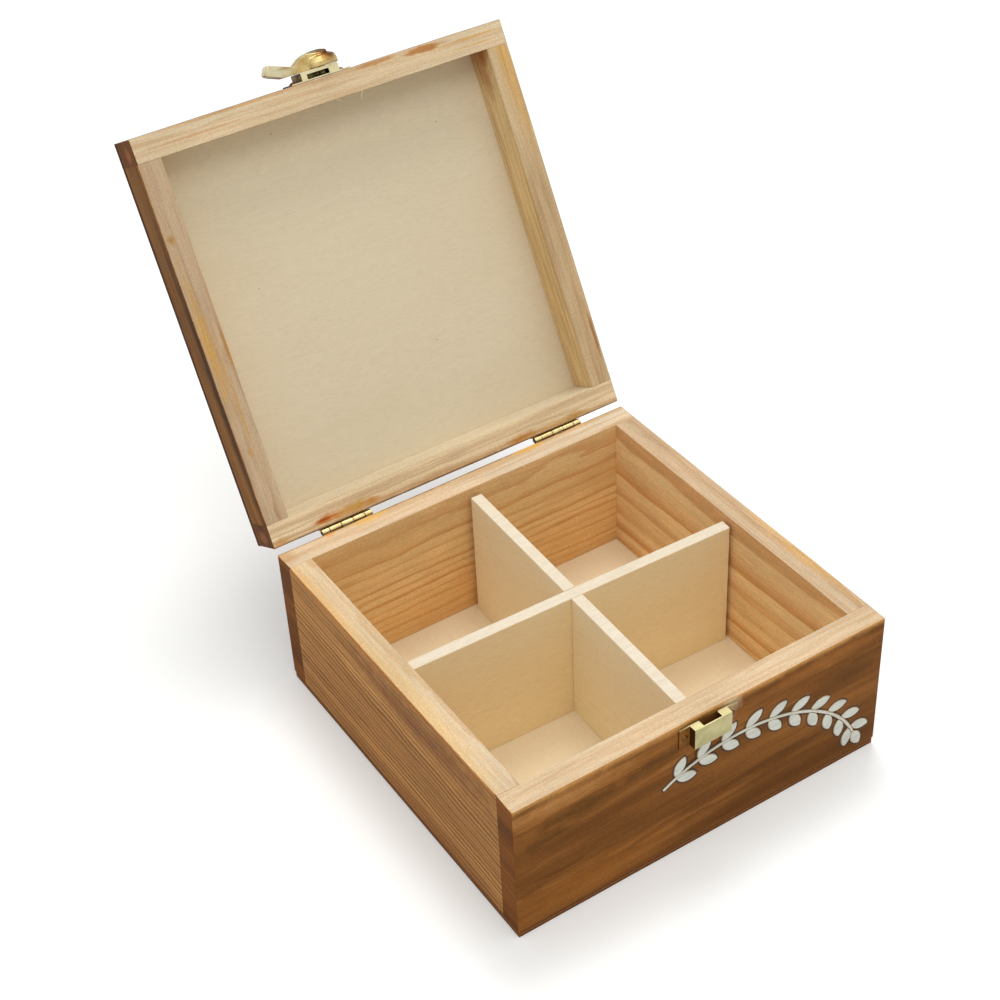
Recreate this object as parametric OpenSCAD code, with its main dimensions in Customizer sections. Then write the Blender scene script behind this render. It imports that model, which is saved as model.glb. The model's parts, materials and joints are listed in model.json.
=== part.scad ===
// Hinged pine keepsake box with a loose four-compartment divider, shown open on its hinge stops.
// X runs along the latch face, Y towards the hinges, Z up. The origin is under the middle of the box.

/* [Box] */
// Width along the latch face
box_w = 160; // [130:1:240]
// Depth from the latch face to the hinges
box_d = 160; // [130:1:240]
// Height of the lower box with its bottom panel
box_h = 63; // [54:1:90]
// Thickness of the pine boards of box and lid
board_t = 9.5; // [8:0.5:13]
// Thickness of the plywood bottom
bottom_t = 3; // [3:0.5:6]
// How far the bottom stands back from the faces
bottom_inset = 0.4; // [0:0.1:3]

/* [Lid] */
// Height of the lid rails
rail_h = 15; // [13:1:30]
// Thickness of the plywood lid panel
top_t = 3; // [2:0.5:5]
// Angle at which the hinge stops hold the open lid
lid_open_angle = 119; // [100:1:130]

/* [Divider] */
// Thickness of the divider boards
divider_t = 4.8; // [3:0.2:7]
// How far the dividers stay below the rim
divider_drop = 2.5; // [1:0.5:10]
// Play at each end of the long divider
long_play = 0.9; // [0.7:0.1:1.5]
// Play at each end of the cross divider
cross_play = 1.3; // [1.2:0.1:2]
// How far the loose divider has turned in the box, in degrees
divider_turn = -1.7; // [-1.7:0.1:0]

/* [Hinges] */
// Length of each hinge
hinge_len = 22; // [18:1:30]
// Distance of the middle of each hinge from the nearer side of the box
hinge_from_side = 31; // [28:1:40]
// Outer radius of the hinge knuckles
knuckle_r = 1.2; // [1.1:0.05:1.6]
// Radius of the hinge pins
hinge_pin_r = 0.55; // [0.4:0.05:0.65]
// Width of each hinge leaf
leaf_w = 9.5; // [9:0.5:12]
// Thickness of the hinge sheet
leaf_t = 0.6; // [0.5:0.05:0.9]

/* [Catch and latch] */
// Width of the raised part of catch and latch bracket
hasp_w = 16; // [15:0.5:20]
// Width of each nailing flange
flange_w = 4.5; // [4:0.5:6]
// How far the catch stands out from the box
catch_out = 3.5; // [3.2:0.1:3.6]
// Height of the catch
catch_h = 9; // [8:0.5:12]
// How far the catch sits below the rim
catch_drop = 2; // [1.5:0.1:3]
// Clear width between the two tabs on top of the catch
catch_gap = 7.8; // [7.4:0.1:8.4]
// Height of the latch bracket
bracket_h = 9.7; // [9:0.1:11]
// How far the latch bracket stands out from the lid
bracket_out = 3.6; // [3.4:0.1:4.2]
// Sideways place of the latch pivot
pivot_x = 3; // [2.6:0.1:3.1]
// Height of the latch pivot above the rim
pivot_rise = 5; // [4.8:0.1:5.4]
// Length of the lever from its pivot to the tail end
lever_len = 24; // [18:1:28]
// Radius of the domed lever body
lever_r = 7; // [5:0.25:8]
// Height of the lever above the bracket
lever_rise = 6.55; // [4:0.05:8]
// Swing of the lever from open to locked, in degrees
lever_swing = 78; // [70:1:78]

/* [Decoration] */
// Length of the white leaves on the front
sprig_leaf_len = 8.4; // [6:0.2:9]
// Width of the white leaves on the front
sprig_leaf_w = 4.2; // [3:0.2:4.6]
// Number of leaf pairs
leaf_pairs = 10; // [4:1:10]

/* [Hidden] */
$fn = 48;

// Overrun of every cut past the face that it opens
cut = 0.5;
// Gap at each side of a nail shank in its hole
nail_fit = 0.02;
// Radial gap of a turning pin in its bore
pin_fit = 0.05;

inner_w = box_w - 2 * board_t;
inner_d = box_d - 2 * board_t;
hinge_x = box_w / 2 - hinge_from_side;

// The loose divider: where it has slid to, and the fit of the halved joint
divider_shift_x = -0.5;
divider_shift_y = -0.9;
halving_fit = 0.05;
divider_h = box_h - bottom_t - divider_drop;

// Wear along the rim over the catch
rim_wear_w = 20.6;
rim_wear_h = 1.4;
rim_wear_depth = 0.7;

// Hinges. The axis lies behind the back faces, at the height of the rim.
wood_gap = 0.15;
knuckle_gap = 0.2;
leaf_setback = 0.35;
hinge_reach = knuckle_r + wood_gap;
hinge_y = box_d / 2 + hinge_reach;
end_knuckle_share = 0.148;
end_knuckle = hinge_len * end_knuckle_share;
mid_knuckle = (hinge_len - 2 * end_knuckle) / 3;
knuckle_edges = [
    0, end_knuckle, end_knuckle + mid_knuckle, end_knuckle + 2 * mid_knuckle,
    end_knuckle + 3 * mid_knuckle, hinge_len
];
leaf_face = leaf_t - hinge_reach;

// Stop lugs bent out of both leaves, which meet half way between them when the lid is open
stop_lug_w = 1.6;
stop_lug_x = 2.8;
stop_lift = 1.35;
stop_near_r = knuckle_r + stop_lift;
stop_face = 2;
stop_root = 1.3;
stop_play = 0.01;

// Domed brass nails
nail_r = 0.6;
nail_len = 6;
nail_head_r = 1.4;
nail_head_h = 0.8;
hinge_nail_spread_share = 0.32;
hinge_nail_x = hinge_len * hinge_nail_spread_share;
hinge_nail_drop_share = 0.66;
hinge_nail_drop = leaf_w * hinge_nail_drop_share;

// Catch and latch bracket, pressed from thin sheet
sheet_t = 0.6;
flange_t = 0.5;
bracket_lift = 0.3;
flange_nail_x = (hasp_w + flange_w) / 2;

// The hook behind the latch bracket, which passes between the tabs and turns under the right one
hook_t = 1.3;
hook_back = 0.8;
hook_fit = 0.3;
arm_w = 2;
claw_w = 1.1;
claw_clearance = 0.45;
claw_engage = 1.3;
arm_lead_angle = 4;
quarter_turn = 90;
tab_reach = pivot_rise + catch_drop + sheet_t;
claw_in_r = sqrt(pow(catch_gap / 2 - pivot_x, 2) + pow(tab_reach, 2)) + claw_clearance;
claw_out_r = claw_in_r + claw_w;
locked_lean_angle = quarter_turn - lever_swing - arm_lead_angle;
claw_span_angle = locked_lean_angle + asin((catch_gap / 2 + claw_engage - pivot_x) / claw_in_r);
hub_r = 2.4;
rivet_r = 1.3;
rivet_shoulder_r = 2;
rivet_back = 0.3;
lever_gap = 0.15;
lever_under = bracket_out + lever_gap;
rivet_grip = 1.3;

// The slot in the floor of the latch bracket, as wide as the hook's sweep
slot_depth = pivot_rise - bracket_lift;
slot_left = pivot_x - sqrt(pow(claw_out_r, 2) - pow(slot_depth - sheet_t, 2)) - hook_fit;
arm_lean_x = (slot_depth - sheet_t) * tan(locked_lean_angle);
slot_right = pivot_x - arm_lean_x + arm_w / 2 / cos(locked_lean_angle) + hook_fit;

// Outlines of the lever: along its length against its height, and its dome against the radius
lever_side_shares = [
    [0.1, 0], [-0.70, 0], [-0.855, 0.2], [-1, 0.43], [-0.895, 0.94], [-0.487, 0.43], [-0.418, 0.59],
    [-0.324, 0.79], [-0.22, 0.92], [-0.1, 0.995], [0.02, 0.985], [0.1, 0.87]
];
lever_dome_shares = [
    [0, 0], [0.96, 0], [1, 0.05], [1, 0.27], [0.9, 0.55], [0.45, 0.78], [0.1, 0.96], [0, 0.98]
];
lever_shoulder_r = 5;
lever_neck_r = 2.1;
lever_tail_r = 2.6;
lever_neck_share = 0.49;
lever_crown_r = 8;

// The leaf sprig: an arch over the right half of the front, in shares of the box's width and height
sprig_mid_share = 0.09;
sprig_spread_share = 0.36;
sprig_top_share = 0.70;
sprig_rise_share = 0.745;
sprig_from_angle = 125;
sprig_to_angle = 20;
leaf_tilt_angle = 38;
inlay_t = 0.3;
stem_w = 0.9;
stem_gap = 0.5;
stem_steps = 24;

stained = [0.50, 0.30, 0.17];
ply = [0.88, 0.78, 0.62];
brass = [0.85, 0.74, 0.42];
white = [0.92, 0.92, 0.88];

// Turns a piece that is drawn on the closed lid to where the open lid is
module on_open_lid() {
    translate([0, hinge_y, box_h])
        rotate([-lid_open_angle, 0, 0])
            translate([0, -hinge_y, -box_h])
                children();
}

// Stands a piece on the front face: its X along the face, its Y up from the rim, its Z outwards
module on_front_face() {
    translate([0, -box_d / 2, box_h])
        rotate([90, 0, 0])
            children();
}

// Runs a profile drawn in Y and Z along the hinge line, from x to x + w
module along_hinge(x, w) {
    translate([x, hinge_y, box_h])
        rotate([90, 0, 90])
            linear_extrude(w)
                children();
}

// Box boards

module long_board(y, z, h) {
    translate([-box_w / 2, y, z])
        cube([box_w, board_t, h]);
}

module side_board(x, z, h) {
    translate([x, -inner_d / 2, z])
        cube([board_t, inner_d, h]);
}

module front_board() {
    color(stained)
        difference() {
            long_board(-box_d / 2, bottom_t, box_h - bottom_t);
            on_front_face() {
                for (side = [-1, 1])
                    translate([side * flange_nail_x, -catch_drop - catch_h / 2, 0])
                        nail_hole();
                rim_wear();
            }
        }
}

// The worn outer edge of the rim above the catch, a long flat chamfer
module rim_wear() {
    translate([-rim_wear_w / 2, 0, 0])
        rotate([90, 0, 90])
            linear_extrude(rim_wear_w)
                polygon([[0, -rim_wear_depth], [cut, cut], [-rim_wear_h, 0]]);
}

module back_board() {
    color(stained)
        difference() {
            long_board(inner_d / 2, bottom_t, box_h - bottom_t);
            for (hinge = [-1, 1], side = [-1, 1])
                hinge_nail_place(hinge, side, -1)
                    nail_hole();
        }
}

module left_board() {
    color(stained)
        side_board(-box_w / 2, bottom_t, box_h - bottom_t);
}

module right_board() {
    color(stained)
        side_board(inner_w / 2, bottom_t, box_h - bottom_t);
}

module bottom_panel() {
    color(ply)
        translate([bottom_inset - box_w / 2, bottom_inset - box_d / 2, 0])
            cube([box_w - 2 * bottom_inset, box_d - 2 * bottom_inset, bottom_t]);
}

// Lid rails and panel

module lid_front_rail() {
    color(stained)
        on_open_lid()
            difference() {
                long_board(-box_d / 2, box_h, rail_h);
                on_front_face()
                    for (side = [-1, 1])
                        translate([side * flange_nail_x, bracket_lift + bracket_h / 2, 0])
                            nail_hole();
            }
}

module lid_back_rail() {
    color(stained)
        on_open_lid()
            difference() {
                long_board(inner_d / 2, box_h, rail_h);
                for (hinge = [-1, 1], side = [-1, 1])
                    hinge_nail_place(hinge, side, 1)
                        nail_hole();
            }
}

module lid_left_rail() {
    color(stained)
        on_open_lid()
            side_board(-box_w / 2, box_h, rail_h);
}

module lid_right_rail() {
    color(stained)
        on_open_lid()
            side_board(inner_w / 2, box_h, rail_h);
}

module lid_top_panel() {
    color(ply)
        on_open_lid()
            translate([-box_w / 2, -box_d / 2, box_h + rail_h])
                cube([box_w, box_d, top_t]);
}

// Nails. Each is drawn with its head upwards and the surface that it is driven into at zero.

module nail(sheet) {
    translate([0, 0, -nail_len])
        cylinder(h = nail_len + sheet, r = nail_r);
    translate([0, 0, sheet])
        nail_head();
}

module nail_head() {
    head_ball_r = (pow(nail_head_r, 2) + pow(nail_head_h, 2)) / (2 * nail_head_h);
    intersection() {
        translate([0, 0, nail_head_h - head_ball_r])
            sphere(r = head_ball_r);
        cylinder(h = nail_head_h + cut, r = nail_head_r + cut);
    }
}

module nail_hole() {
    translate([0, 0, -nail_len - nail_fit])
        cylinder(h = nail_len + nail_fit + cut, r = nail_r + nail_fit);
}

// A hinge nail's place on the back face: hinge and side are -1 or 1, up is 1 on the lid and -1 on the box
module hinge_nail_place(hinge, side, up) {
    translate([hinge * hinge_x + side * hinge_nail_x, box_d / 2, box_h + up * hinge_nail_drop])
        rotate([-90, 0, 0])
            children();
}

module hinge_box_nails() {
    color(brass)
        for (hinge = [-1, 1], side = [-1, 1])
            hinge_nail_place(hinge, side, -1)
                nail(leaf_t);
}

module hinge_lid_nails() {
    color(brass)
        on_open_lid()
            for (hinge = [-1, 1], side = [-1, 1])
                hinge_nail_place(hinge, side, 1)
                    nail(leaf_t);
}

module catch_nails() {
    color(brass)
        on_front_face()
            for (side = [-1, 1])
                translate([side * flange_nail_x, -catch_drop - catch_h / 2, 0])
                    nail(flange_t);
}

module latch_nails() {
    color(brass)
        on_open_lid()
            on_front_face()
                for (side = [-1, 1])
                    translate([side * flange_nail_x, bracket_lift + bracket_h / 2, 0])
                        nail(flange_t);
}

// Hinges. up is 1 for the lid leaf and -1 for the box leaf, whose knuckles are the first, third and fifth.

module hinge_leaf(hinge, up) {
    own = up < 0 ? [0, 2, 4] : [1, 3];
    start = hinge * hinge_x - hinge_len / 2;
    difference() {
        union() {
            along_hinge(start, hinge_len)
                leaf_strip(up, knuckle_r + leaf_setback, leaf_w);
            for (k = own)
                along_hinge(start + knuckle_start(k), knuckle_end(k) - knuckle_start(k)) {
                    leaf_strip(up, 0, leaf_w);
                    circle(r = knuckle_r);
                }
            for (side = [-1, 1])
                along_hinge(hinge * hinge_x + side * stop_lug_x - stop_lug_w / 2, stop_lug_w)
                    stop_lug(up);
        }
        along_hinge(start - cut, hinge_len + 2 * cut)
            circle(r = hinge_pin_r + pin_fit);
        for (side = [-1, 1])
            hinge_nail_place(hinge, side, up)
                cylinder(h = leaf_t + cut, r = nail_r + pin_fit);
    }
}

// The flat strip of a leaf between two distances from the hinge axis
module leaf_strip(up, near, far) {
    translate([-hinge_reach, up > 0 ? near : -far])
        square([leaf_t, far - near]);
}

// One stop lug in section: its long side lies on the plane half way between the open leaves
module stop_lug(up) {
    near = stop_edge(stop_near_r);
    far = stop_edge(stop_near_r + stop_face);
    root_y = leaf_face - leaf_t / 2;
    polygon([
        [root_y, up * stop_near_r],
        [near[0], up * near[1]],
        [far[0], up * far[1]],
        [root_y, up * (stop_near_r + stop_face + stop_root)]
    ]);
}

// A point on the lug's stop side, at a distance r along it from the hinge axis
function stop_edge(r) = [
    r * cos(lid_open_angle / 2) - stop_play * sin(lid_open_angle / 2),
    r * sin(lid_open_angle / 2) + stop_play * cos(lid_open_angle / 2)
];

function knuckle_start(k) = knuckle_edges[k] + (k > 0 ? knuckle_gap / 2 : 0);
function knuckle_end(k) = knuckle_edges[k + 1] - (k < 4 ? knuckle_gap / 2 : 0);

module hinge_left_box_leaf() {
    color(brass)
        hinge_leaf(-1, -1);
}

module hinge_right_box_leaf() {
    color(brass)
        hinge_leaf(1, -1);
}

module hinge_left_lid_leaf() {
    color(brass)
        on_open_lid()
            hinge_leaf(-1, 1);
}

module hinge_right_lid_leaf() {
    color(brass)
        on_open_lid()
            hinge_leaf(1, 1);
}

module hinge_pin(hinge) {
    along_hinge(hinge * hinge_x - hinge_len / 2, hinge_len)
        circle(r = hinge_pin_r);
}

module hinge_left_pin() {
    color(brass)
        hinge_pin(-1);
}

module hinge_right_pin() {
    color(brass)
        hinge_pin(1);
}

// A pressed sheet box with a nailing flange at each side, drawn from y to y + h and hollow towards the wood
module pressed_box(y, h, out) {
    difference() {
        union() {
            translate([-hasp_w / 2, y, 0])
                cube([hasp_w, h, out]);
            translate([-hasp_w / 2 - flange_w, y, 0])
                cube([hasp_w + 2 * flange_w, h, flange_t]);
        }
        translate([sheet_t - hasp_w / 2, y + sheet_t, -cut])
            cube([hasp_w - 2 * sheet_t, h - 2 * sheet_t, out - sheet_t + cut]);
        for (side = [-1, 1])
            translate([side * flange_nail_x, y + h / 2, -cut])
                cylinder(h = flange_t + 2 * cut, r = nail_r + pin_fit);
    }
}

module catch_plate() {
    color(brass)
        on_front_face()
            difference() {
                pressed_box(-catch_drop - catch_h, catch_h, catch_out);
                translate([-catch_gap / 2, -catch_drop - sheet_t, -cut])
                    cube([catch_gap, sheet_t + cut, catch_out - sheet_t + cut]);
            }
}

module latch_bracket() {
    color(brass)
        on_open_lid()
            on_front_face()
                difference() {
                    pressed_box(bracket_lift, bracket_h, bracket_out);
                    translate([slot_left, bracket_lift - cut, hook_back - hook_fit])
                        cube([slot_right - slot_left, sheet_t + 2 * cut, hook_t + 2 * hook_fit]);
                    translate([pivot_x, pivot_rise, 0])
                        cylinder(h = bracket_out + cut, r = rivet_r + pin_fit);
                }
}

// Latch. Its pieces are drawn about the pivot, with the tail pointing to -X.

module on_pivot() {
    on_open_lid()
        on_front_face()
            translate([pivot_x, pivot_rise, 0])
                children();
}

module latch_lever() {
    color(brass)
        on_pivot()
            translate([0, 0, lever_under])
                difference() {
                    union() {
                        rotate_extrude()
                            polygon([for (s = lever_dome_shares) [s[0] * lever_r, s[1] * lever_rise]]);
                        lever_tail();
                    }
                    translate([0, 0, -cut])
                        cylinder(h = rivet_grip + cut, r = rivet_r + nail_fit);
                }
}

// The neck and tail: the side outline, the front outline and a crowned back cut from one block
module lever_tail() {
    intersection() {
        translate([0, lever_r, 0])
            rotate([90, 0, 0])
                linear_extrude(2 * lever_r)
                    polygon([for (s = lever_side_shares) [s[0] * lever_len, s[1] * lever_rise]]);
        linear_extrude(lever_rise + cut)
            lever_front_outline();
        translate([-lever_len - cut, 0, lever_rise - lever_crown_r])
            rotate([0, 90, 0])
                cylinder(h = lever_len + lever_r + cut, r = lever_crown_r, $fn = 96);
    }
}

module lever_front_outline() {
    tail_x = lever_tail_r - lever_len;
    neck_x = -lever_len * lever_neck_share;
    circle(r = lever_shoulder_r);
    polygon([
        [0, -lever_shoulder_r], [0, lever_shoulder_r], [neck_x, lever_neck_r],
        [tail_x, lever_tail_r], [tail_x, -lever_tail_r], [neck_x, -lever_neck_r]
    ]);
    translate([tail_x, 0])
        circle(r = lever_tail_r);
}

module latch_hook() {
    color(brass)
        on_pivot()
            translate([0, 0, hook_back])
                difference() {
                    rotate(180 + arm_lead_angle)
                        linear_extrude(hook_t)
                            hook_outline();
                    translate([0, 0, -cut])
                        cylinder(h = hook_t + 2 * cut, r = rivet_r + nail_fit);
                }
}

// Hub, arm and claw, drawn with the arm along +X and the claw turning on from its end
module hook_outline() {
    circle(r = hub_r);
    intersection() {
        translate([0, -arm_w / 2])
            square([claw_out_r, arm_w]);
        circle(r = claw_out_r, $fn = 96);
    }
    intersection() {
        difference() {
            circle(r = claw_out_r, $fn = 96);
            circle(r = claw_in_r, $fn = 96);
        }
        polygon([
            [0, 0], [2 * claw_out_r, 0],
            [2 * claw_out_r * cos(claw_span_angle), 2 * claw_out_r * sin(claw_span_angle)]
        ]);
    }
}

module latch_rivet() {
    color(brass)
        on_pivot() {
            translate([0, 0, rivet_back])
                cylinder(h = lever_under + rivet_grip - nail_fit - rivet_back, r = rivet_r);
            translate([0, 0, hook_back + hook_t + nail_fit])
                cylinder(h = bracket_out - sheet_t - hook_back - hook_t - 2 * nail_fit, r = rivet_shoulder_r);
        }
}

// Loose divider, halved together where its boards cross

module on_divider_place() {
    translate([divider_shift_x, divider_shift_y, bottom_t])
        rotate([0, 0, divider_turn])
            children();
}

module divider_board(len) {
    translate([-len / 2, -divider_t / 2, 0])
        cube([len, divider_t, divider_h]);
}

// The slot for the other board, from z upwards by h
module halving(z, h) {
    slot_w = divider_t + 2 * halving_fit;
    translate([-slot_w / 2, -divider_t / 2 - cut, z])
        cube([slot_w, divider_t + 2 * cut, h]);
}

module long_divider() {
    color(ply)
        on_divider_place()
            difference() {
                divider_board(inner_w - 2 * long_play);
                halving(-cut, divider_h / 2 + halving_fit + cut);
            }
}

module cross_divider() {
    color(ply)
        on_divider_place()
            rotate([0, 0, 90])
                difference() {
                    divider_board(inner_d - 2 * cross_play);
                    halving(divider_h / 2 - halving_fit, divider_h / 2 + halving_fit + cut);
                }
}

// Leaf sprig on the front

function sprig_x(a) = box_w * (sprig_mid_share + sprig_spread_share * cos(a));
function sprig_z(a) = box_h * (sprig_top_share - sprig_rise_share * (1 - sin(a)));
function sprig_heading(a) = atan2(-box_h * sprig_rise_share * cos(a), box_w * sprig_spread_share * sin(a));
function pair_angle(i) = sprig_from_angle + (sprig_to_angle - sprig_from_angle) * (i + 0.5) / leaf_pairs;
function stem_angle(i) = sprig_from_angle + (sprig_to_angle - sprig_from_angle) * i / stem_steps;

module almond_leaf(len, wide) {
    arc_r = (pow(len, 2) + pow(wide, 2)) / (4 * wide);
    intersection() {
        translate([len / 2, arc_r - wide / 2, 0])
            cylinder(h = inlay_t, r = arc_r);
        translate([len / 2, wide / 2 - arc_r, 0])
            cylinder(h = inlay_t, r = arc_r);
    }
}

module leaf_inlays() {
    tip = sprig_to_angle;
    color(white)
        translate([0, 0, -box_h])
            on_front_face() {
                for (i = [0 : leaf_pairs - 1], side = [-1, 1])
                    translate([sprig_x(pair_angle(i)), sprig_z(pair_angle(i)), 0])
                        rotate([0, 0, sprig_heading(pair_angle(i)) + side * leaf_tilt_angle])
                            translate([(stem_w / 2 + stem_gap) / sin(leaf_tilt_angle), 0, 0])
                                almond_leaf(sprig_leaf_len, sprig_leaf_w);
                translate([sprig_x(tip), sprig_z(tip), 0])
                    rotate([0, 0, sprig_heading(tip)])
                        translate([stem_gap, 0, 0])
                            almond_leaf(sprig_leaf_len, sprig_leaf_w);
                linear_extrude(inlay_t)
                    polygon(concat(
                        [for (i = [0 : stem_steps]) stem_point(stem_angle(i), stem_w / 2)],
                        [for (i = [stem_steps : -1 : 0]) stem_point(stem_angle(i), -stem_w / 2)]
                    ));
            }
}

// A point beside the stem's middle line
function stem_point(a, off) = [
    sprig_x(a) - off * sin(sprig_heading(a)),
    sprig_z(a) + off * cos(sprig_heading(a))
];

front_board();
back_board();
left_board();
right_board();
bottom_panel();
catch_plate();
catch_nails();
hinge_left_box_leaf();
hinge_right_box_leaf();
hinge_left_pin();
hinge_right_pin();
hinge_box_nails();
lid_front_rail();
lid_back_rail();
lid_left_rail();
lid_right_rail();
lid_top_panel();
hinge_left_lid_leaf();
hinge_right_lid_leaf();
hinge_lid_nails();
latch_bracket();
latch_nails();
latch_lever();
latch_hook();
latch_rivet();
long_divider();
cross_divider();
leaf_inlays();
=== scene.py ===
import json
import math
from math import radians

import bmesh
import bpy
from mathutils import Euler, Matrix, Vector, noise


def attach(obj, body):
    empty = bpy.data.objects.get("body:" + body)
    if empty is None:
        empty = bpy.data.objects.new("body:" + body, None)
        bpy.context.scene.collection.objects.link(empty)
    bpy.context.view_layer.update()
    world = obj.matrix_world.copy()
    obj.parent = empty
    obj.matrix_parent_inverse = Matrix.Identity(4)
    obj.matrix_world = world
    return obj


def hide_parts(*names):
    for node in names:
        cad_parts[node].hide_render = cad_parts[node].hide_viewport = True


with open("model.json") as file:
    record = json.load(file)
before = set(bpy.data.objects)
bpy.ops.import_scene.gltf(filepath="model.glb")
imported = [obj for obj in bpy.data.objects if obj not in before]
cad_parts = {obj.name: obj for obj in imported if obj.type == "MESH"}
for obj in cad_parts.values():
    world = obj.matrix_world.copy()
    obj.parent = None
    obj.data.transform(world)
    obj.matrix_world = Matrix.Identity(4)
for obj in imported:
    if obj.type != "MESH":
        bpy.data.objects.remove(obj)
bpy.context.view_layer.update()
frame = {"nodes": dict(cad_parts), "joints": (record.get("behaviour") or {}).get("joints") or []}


# Where the photograph was taken from
# The camera stands high at the front left corner. Its place and lens were solved from the corners
# of the box, the lid and the dividers, which all lie within about a pixel of the photograph.
camera_place = (-0.30399, -0.45105, 0.54019)
camera_turn = (0.89478, 0.04272, -0.58142)
camera_lens = 70.956
sensor = 36

camera = bpy.data.objects.new("camera", bpy.data.cameras.new("camera"))
camera.location = camera_place
camera.rotation_euler = camera_turn
camera.data.lens = camera_lens
camera.data.sensor_width = sensor
bpy.context.scene.collection.objects.link(camera)
bpy.context.scene.camera = camera
bpy.context.scene.view_settings.view_transform = "Standard"


# Front and back boards
# Two pine boards run the full width of the box, so that their end grain shows on its sides.
# They are stained brown outside and on the ends, and bare on the rim and inside.
MM = 0.001
hinge = next(j for j in frame["joints"] if j["name"] == "lid_hinge")
hinge_line = Vector(hinge["pos_m"])
open_angle = radians(hinge["range_deg"][1])
close_turn = Matrix.Rotation(open_angle, 4, "X")
closing = Matrix.Translation(hinge_line) @ close_turn @ Matrix.Translation(-hinge_line)
opening = closing.inverted()
as_it_stands = Matrix.Identity(4)

arris_round = 0.55 * MM
joint_round = 0.1 * MM
at_face = 0.6 * MM
crease = radians(50)
hand_wobble = 0.12 * MM
wobble_per_m = 45
planed_off = 0.02 * MM
slice_len = 4 * MM

# The sawn faces are drawn from a set seed. Without one they would differ a little on each run.
wobble_seed = 1


def measured(node, lie):
    """Lowest and highest corner of a CAD node after it is laid by a matrix."""
    points = [lie @ v.co for v in frame["nodes"][node].data.vertices]
    low = Vector([min(p[i] for p in points) for i in range(3)])
    high = Vector([max(p[i] for p in points) for i in range(3)])
    return low, high


box_low, box_high = measured("front_board", as_it_stands)
_, back_high = measured("back_board", as_it_stands)
half_w = box_high.x
half_d = back_high.y
rim_z = box_high.z
foot_z = box_low.z


def slice_along(bm, along, longer_than, cuts):
    """Cuts across the edges that run along an axis."""
    long_edges = [e for e in bm.edges if abs(e.verts[0].co[along] - e.verts[1].co[along]) > longer_than]
    bmesh.ops.subdivide_edges(bm, edges=long_edges, cuts=cuts, use_grid_fill=True)


def board_block(low, high, along):
    """A sawn board, sliced along its grain: slightly uneven faces, planed where others lie on it."""
    noise.seed_set(wobble_seed)
    bm = bmesh.new()
    bmesh.ops.create_cube(bm, size=1)
    size = high - low
    bmesh.ops.scale(bm, vec=size, verts=bm.verts)
    bmesh.ops.translate(bm, vec=(low + high) / 2, verts=bm.verts)
    slice_along(bm, along, size[along] / 2, int(size[along] / slice_len))
    for v in bm.verts:
        v.co += noise.noise_vector(v.co * wobble_per_m) * hand_wobble
        v.co.z = min(max(v.co.z, low.z + planed_off), high.z - planed_off)
    return bm


def sharp_edges(bm, turn):
    """The edges where two faces meet at more than an angle."""
    return [e for e in bm.edges if e.is_manifold and e.calc_face_angle() > turn]


def round_over(bm, edges, width, steps=2):
    """Rounds edges over by a width."""
    bmesh.ops.bevel(
        bm, geom=edges, offset=width, offset_type="OFFSET", segments=steps, profile=0.5,
        affect="EDGES", material=-1, clamp_overlap=True
    )


def ease_edges(bm, is_arris):
    """Rounds the arrises that a hand touches, and only breaks the edges at the joints."""
    for pick, width, steps in ((True, arris_round, 3), (False, joint_round, 1)):
        chosen = [
            e for e in sharp_edges(bm, crease) if is_arris((e.verts[0].co + e.verts[1].co) / 2) == pick
        ]
        round_over(bm, chosen, width, steps)
    bm.normal_update()


def box_arris(p):
    """True on the outer edges of the boards: upright ones, round the rim and round the foot."""
    at_side = (abs(p.x) > half_w - at_face) + (abs(p.y) > half_d - at_face)
    return at_side + (p.z > rim_z - at_face) + (p.z < foot_z + at_face) >= 2


def finished(bm, name, materials, body, node, lie=as_it_stands):
    """Makes the piece, lays it in the row's frame and joins it to its body."""
    bmesh.ops.recalc_face_normals(bm, faces=bm.faces)
    for f in bm.faces:
        f.smooth = True
    mesh = bpy.data.meshes.new(name)
    bm.to_mesh(mesh)
    bm.free()
    mesh.transform(lie)
    for m in materials:
        mesh.materials.append(m)
    piece = bpy.data.objects.new(name, mesh)
    bpy.context.scene.collection.objects.link(piece)
    steady = piece.modifiers.new("steady_shading", "WEIGHTED_NORMAL")
    steady.keep_sharp = True
    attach(piece, body)
    if node:
        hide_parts(node)
    return piece


def shade(r, g, b):
    """A colour as it is read off a screen, as the linear colour that a shader wants."""
    def linear(c):
        c = c / 255
        return c / 12.92 if c <= 0.04045 else ((c + 0.055) / 1.055) ** 2.4
    return (linear(r), linear(g), linear(b), 1)


def put(tree, kind, inputs=None, **settings):
    """Adds a node, sets it up, and links or fills its inputs."""
    node = tree.nodes.new(kind)
    for key, value in settings.items():
        setattr(node, key, value)
    for key, value in (inputs or {}).items():
        if isinstance(value, bpy.types.NodeSocket):
            tree.links.new(value, node.inputs[key])
        else:
            node.inputs[key].default_value = value
    return node


def sums(tree, operation, *values):
    """One arithmetic node's result."""
    return put(tree, "ShaderNodeMath", dict(enumerate(values)), operation=operation).outputs[0]


def vectors(tree, operation, *values):
    """One vector node's result: a vector, or the number that a length or a product of two gives."""
    node = put(tree, "ShaderNodeVectorMath", dict(enumerate(values)), operation=operation)
    return node.outputs["Value" if operation in ("LENGTH", "DOT_PRODUCT") else "Vector"]


def relaid(tree, place, turn, shift=(0, 0, 0)):
    """Places turned by three angles and then shifted."""
    inputs = {"Vector": place, "Location": shift, "Rotation": Euler(turn)}
    return put(tree, "ShaderNodeMapping", inputs).outputs[0]


def own_place(tree):
    """Places on the piece, in metres in the row's frame."""
    return put(tree, "ShaderNodeTexCoord").outputs["Object"]


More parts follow.
